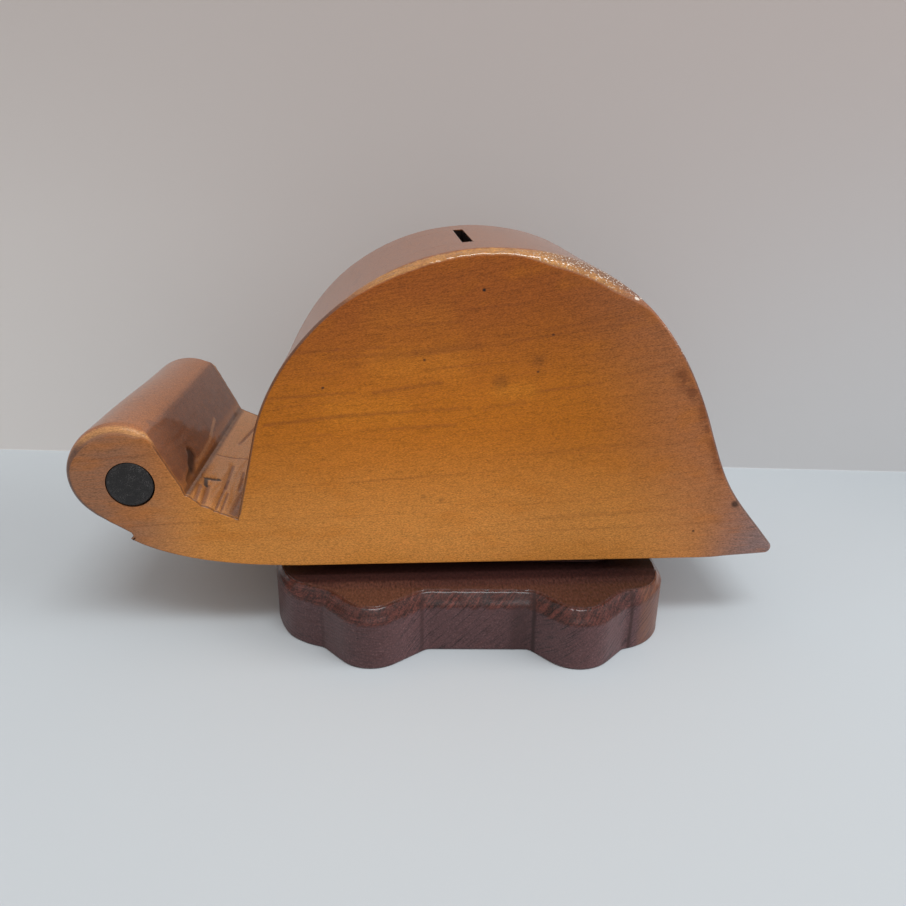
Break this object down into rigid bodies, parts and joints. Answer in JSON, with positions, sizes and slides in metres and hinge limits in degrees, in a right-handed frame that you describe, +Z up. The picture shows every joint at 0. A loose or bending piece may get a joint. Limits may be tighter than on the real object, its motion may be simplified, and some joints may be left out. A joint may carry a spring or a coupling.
{
  "type": "wooden coin bank",
  "caption": "Laminated wooden animal figurine with a domed shell, curled head and pointed tail, a coin slot on top, a hollow chamber and a lobed base with a pull-out stopper.",
  "frame": {"origin": "centre of the object's box, on the surface that the base stands on", "axes": "+Z up, +X from the head to the tail, -Y towards the face that the picture shows"},
  "size_m": [0.202, 0.1246, 0.1119],
  "materials": {
    "body_wood": "amber gloss varnish over fine straight grain",
    "eye_black": "black paint, satin",
    "base_lacquer": "dark red gloss lacquer",
    "stopper_rubber": "matt",
    "screw_steel": "zinc plated"
  },
  "bodies": {
    "bank": {"front_board": "body_wood", "core_board": "body_wood", "back_board": "body_wood", "front_eye": "eye_black", "back_eye": "eye_black", "foot_base": "base_lacquer", "spacer_board": "base_lacquer", "base_screw_1": "screw_steel", "base_screw_2": "screw_steel", "base_screw_3": "screw_steel", "base_screw_4": "screw_steel"},
    "stopper": {"coin_stopper": "stopper_rubber"}
  },
  "joints": [
    {"name": "stopper_pull", "type": "slide", "parent": "bank", "child": "stopper", "axis": [0, 0, -1], "range_m": [0, 0.02]}
  ]
}
